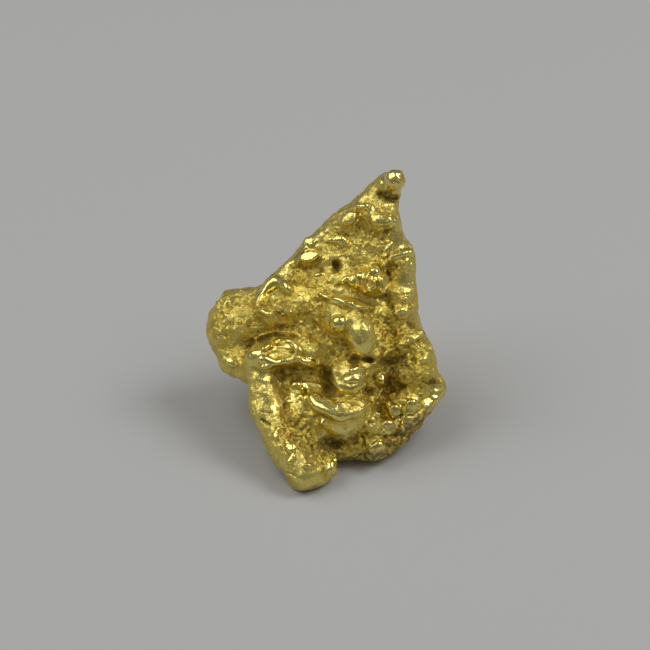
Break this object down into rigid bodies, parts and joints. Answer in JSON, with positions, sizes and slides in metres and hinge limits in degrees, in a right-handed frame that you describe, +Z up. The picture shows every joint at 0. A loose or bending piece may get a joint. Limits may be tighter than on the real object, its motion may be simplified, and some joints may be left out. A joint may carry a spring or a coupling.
{
  "type": "gold nugget",
  "caption": "Natural gold nugget, one solid lumpy mass with a leaning pointed spire, beads, ridges and pits, resting on its own worn lumps.",
  "frame": {"origin": "centre of the nugget's bounding box, at the level of the surface that it rests on", "axes": "+Z up, longest way, with the spire at the top; -Y is the side that the broad lumpy face leans back from; +X to the right as that face is seen"},
  "size_m": [0.012, 0.0118, 0.0124],
  "materials": {
    "native_gold": "waterworn native gold: polished on crests and beads, dull and darker in the recesses"
  },
  "bodies": {
    "root": {"nugget": "native_gold"}
  },
  "joints": []
}
